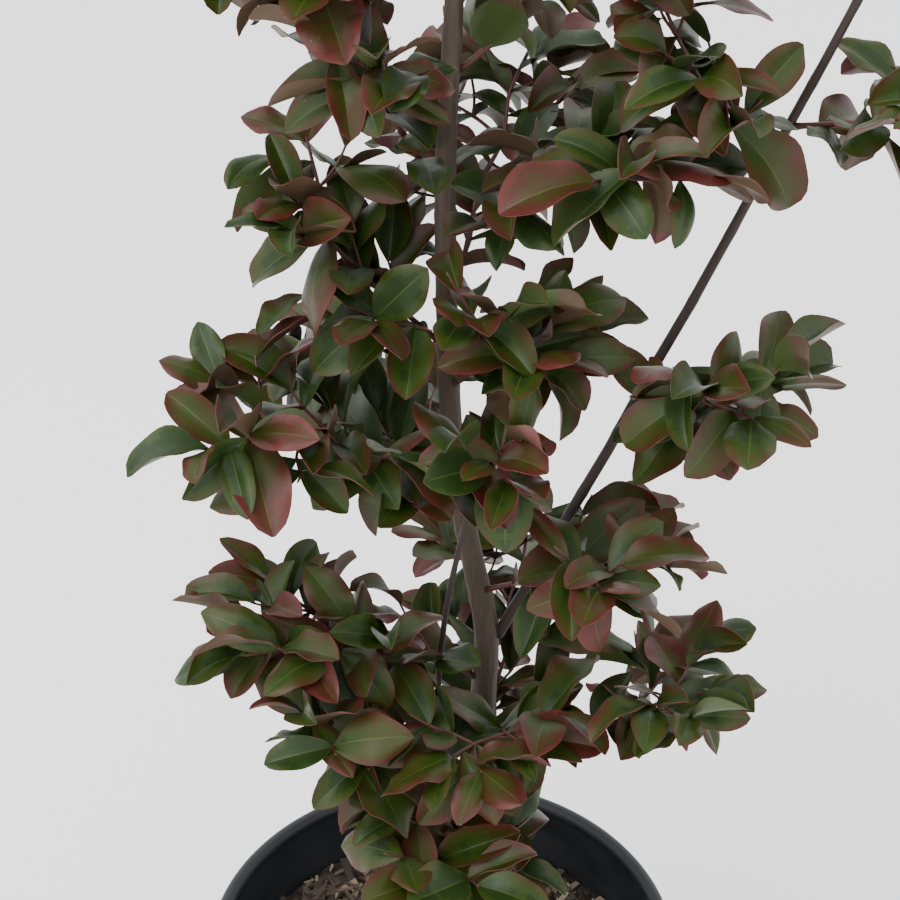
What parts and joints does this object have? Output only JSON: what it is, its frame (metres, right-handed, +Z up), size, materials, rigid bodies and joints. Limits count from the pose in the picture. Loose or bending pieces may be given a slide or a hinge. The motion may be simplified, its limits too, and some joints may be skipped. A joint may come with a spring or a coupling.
{
  "type": "potted crape myrtle",
  "caption": "Young multi-stemmed flowering shrub with bronze-green late-season leaves, standing in a round nursery pot of bark-covered soil.",
  "frame": {"origin": "middle of the pot's flat underside, on the ground", "axes": "+Z up along the pot's axis and the plant's height; the pictured front faces -Y"},
  "size_m": [0.5134, 0.3321, 1.3844],
  "materials": {
    "pot_plastic": "satin black moulded plastic",
    "bark_mulch": "dark composted bark chips",
    "trunk_bark": "grey-brown finely striated bark",
    "young_bark": "dark brown young bark",
    "foliage": "satin bronze-green leaves with red margins, on red-brown twigs"
  },
  "bodies": {
    "root": {"pot": "pot_plastic", "soil": "bark_mulch", "trunk": "trunk_bark", "slender_stem": "young_bark", "second_stem": "young_bark", "low_right_bough": "young_bark", "low_front_spray": "foliage", "low_left_spray": "foliage", "low_side_spray": "foliage", "foot_spray": "foliage", "low_right_spray": "foliage", "slender_spray": "foliage", "right_spray": "foliage", "far_left_spray": "foliage", "left_spray": "foliage", "upper_left_spray": "foliage", "centre_spray": "foliage", "inner_spray": "foliage", "upper_right_spray": "foliage", "second_low_spray": "foliage", "second_inner_spray": "foliage", "second_outer_spray": "foliage", "second_tip_spray": "foliage", "rear_left_spray": "foliage", "rear_spray": "foliage", "low_rear_spray": "foliage", "crown_left_spray": "foliage", "crown_right_spray": "foliage", "crown_rear_spray": "foliage", "crown_tip_spray": "foliage"}
  },
  "joints": []
}
